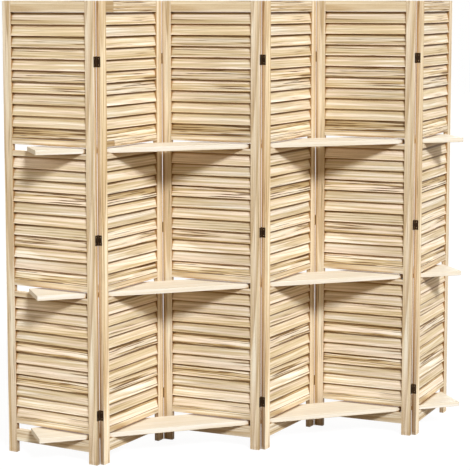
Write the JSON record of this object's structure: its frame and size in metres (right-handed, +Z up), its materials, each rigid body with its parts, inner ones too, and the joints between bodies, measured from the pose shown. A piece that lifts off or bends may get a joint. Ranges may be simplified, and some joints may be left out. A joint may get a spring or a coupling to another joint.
{
  "type": "folding screen with shelves",
  "caption": "Zigzag folding screen of louvred wooden panels joined by butt hinges, with long shelf boards that lie in slots through the panels.",
  "frame": {"origin": "on the floor under the middle of the standing screen", "axes": "+X along the line of the front folds to the right, -Y to the front, +Z up"},
  "size_m": [1.8302, 0.3046, 1.7],
  "materials": {
    "frame_wood": "bare sanded pine",
    "slat_wood": "bare sanded pine",
    "shelf_wood": "pale planed pine",
    "hinge_metal": "dark bronze",
    "screw_metal": "dark bronze"
  },
  "bodies": {
    "panel_1": {"panel_1_left_stile": "frame_wood", "panel_1_right_stile": "frame_wood", "panel_1_rails": "frame_wood", "panel_1_upper_slats": "slat_wood", "panel_1_middle_slats": "slat_wood", "panel_1_lower_slats": "slat_wood", "panel_1_hinge_screws": "screw_metal", "hinge_1_left_leaves": "hinge_metal", "hinge_1_pins": "hinge_metal"},
    "panel_2": {"panel_2_left_stile": "frame_wood", "panel_2_right_stile": "frame_wood", "panel_2_rails": "frame_wood", "panel_2_upper_slats": "slat_wood", "panel_2_middle_slats": "slat_wood", "panel_2_lower_slats": "slat_wood", "panel_2_hinge_screws": "screw_metal", "hinge_1_right_leaves": "hinge_metal", "hinge_2_left_leaves": "hinge_metal"},
    "panel_3": {"panel_3_left_stile": "frame_wood", "panel_3_right_stile": "frame_wood", "panel_3_rails": "frame_wood", "panel_3_upper_slats": "slat_wood", "panel_3_middle_slats": "slat_wood", "panel_3_lower_slats": "slat_wood", "panel_3_hinge_screws": "screw_metal", "hinge_2_right_leaves": "hinge_metal", "hinge_3_left_leaves": "hinge_metal", "hinge_3_pins": "hinge_metal"},
    "panel_4": {"panel_4_left_stile": "frame_wood", "panel_4_right_stile": "frame_wood", "panel_4_rails": "frame_wood", "panel_4_upper_slats": "slat_wood", "panel_4_middle_slats": "slat_wood", "panel_4_lower_slats": "slat_wood", "panel_4_hinge_screws": "screw_metal", "hinge_3_right_leaves": "hinge_metal", "hinge_4_left_leaves": "hinge_metal", "hinge_4_pins": "hinge_metal"},
    "panel_5": {"panel_5_left_stile": "frame_wood", "panel_5_right_stile": "frame_wood", "panel_5_rails": "frame_wood", "panel_5_upper_slats": "slat_wood", "panel_5_middle_slats": "slat_wood", "panel_5_lower_slats": "slat_wood", "panel_5_hinge_screws": "screw_metal", "hinge_4_right_leaves": "hinge_metal", "hinge_5_left_leaves": "hinge_metal", "hinge_5_pins": "hinge_metal"},
    "panel_6": {"panel_6_left_stile": "frame_wood", "panel_6_right_stile": "frame_wood", "panel_6_rails": "frame_wood", "panel_6_upper_slats": "slat_wood", "panel_6_middle_slats": "slat_wood", "panel_6_lower_slats": "slat_wood", "panel_6_hinge_screws": "screw_metal", "hinge_5_right_leaves": "hinge_metal"},
    "shelf_pins": {"hinge_2_pins": "hinge_metal"},
    "top_shelf": {"top_shelf": "shelf_wood"},
    "middle_shelf": {"middle_shelf": "shelf_wood"},
    "bottom_shelf": {"bottom_shelf": "shelf_wood"}
  },
  "joints": [
    {"name": "fold", "type": "hinge", "parent": "panel_3", "child": "panel_4", "pos_m": [0, -0.13915, 0.85], "axis": [0, 0, 1], "range_deg": [0, 95]},
    {"name": "hinge_1_turn", "type": "hinge", "parent": "panel_2", "child": "panel_1", "pos_m": [-0.62794, -0.13915, 0.85], "axis": [0, 0, -1], "range_deg": [0, 90.3]},
    {"name": "hinge_2_turn", "type": "hinge", "parent": "panel_3", "child": "panel_2", "pos_m": [-0.31397, 0.11099, 0.85], "axis": [0, 0, 1], "range_deg": [0, 95.05]},
    {"name": "hinge_4_turn", "type": "hinge", "parent": "panel_4", "child": "panel_5", "pos_m": [0.31397, 0.11099, 0.85], "axis": [0, 0, -1], "range_deg": [0, 95.05]},
    {"name": "hinge_5_turn", "type": "hinge", "parent": "panel_5", "child": "panel_6", "pos_m": [0.62794, -0.13915, 0.85], "axis": [0, 0, 1], "range_deg": [0, 90.3]},
    {"name": "shelf_pins_turn", "type": "hinge", "parent": "panel_3", "child": "shelf_pins", "pos_m": [-0.31397, 0.11099, 0.85], "axis": [0, 0, 1], "range_deg": [0, 47.55]},
    {"name": "top_shelf_slide", "type": "slide", "parent": "shelf_pins", "child": "top_shelf", "axis": [1, 0, 0], "range_m": [0, 1.78]},
    {"name": "middle_shelf_slide", "type": "slide", "parent": "shelf_pins", "child": "middle_shelf", "axis": [1, 0, 0], "range_m": [0, 1.78]},
    {"name": "bottom_shelf_slide", "type": "slide", "parent": "shelf_pins", "child": "bottom_shelf", "axis": [1, 0, 0], "range_m": [0, 1.78]}
  ],
  "couplings": [
    {"joint": "hinge_1_turn", "follows": "fold", "ratio": 0.95},
    {"joint": "hinge_2_turn", "follows": "fold", "ratio": 1},
    {"joint": "hinge_4_turn", "follows": "fold", "ratio": 1},
    {"joint": "hinge_5_turn", "follows": "fold", "ratio": 0.95},
    {"joint": "shelf_pins_turn", "follows": "fold", "ratio": 0.5}
  ]
}
